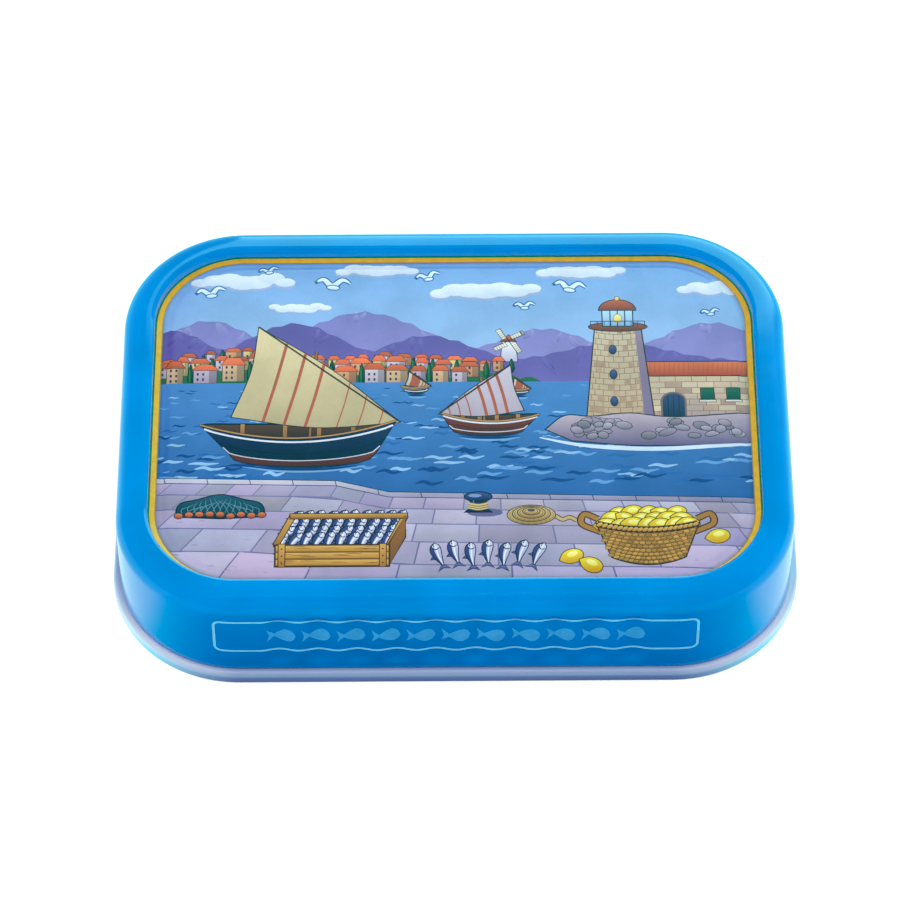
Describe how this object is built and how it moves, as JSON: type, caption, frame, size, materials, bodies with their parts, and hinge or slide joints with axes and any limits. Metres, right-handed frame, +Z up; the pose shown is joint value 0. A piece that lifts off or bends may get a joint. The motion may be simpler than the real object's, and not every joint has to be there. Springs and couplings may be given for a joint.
{
  "type": "sardine tin",
  "caption": "Shut oblong fish tin with a rounded rim, a sunk picture panel, fluted walls and a seamed pull-ring end.",
  "frame": {"origin": "on the surface that the tin stands on, under the middle of its footprint", "axes": "+X along the tin's length to the right, -Y out of the front wall, +Z up out of the picture panel"},
  "size_m": [0.105, 0.076, 0.0189],
  "materials": {
    "blue_lacquer": "glossy sky-blue print lacquer",
    "bare_end_metal": "satin silver metal with a faint lilac cast",
    "ring_metal": "bright satin silver metal"
  },
  "bodies": {
    "root": {"tin_body": "blue_lacquer", "seamed_end": "bare_end_metal", "pull_ring": "ring_metal"}
  },
  "joints": []
}
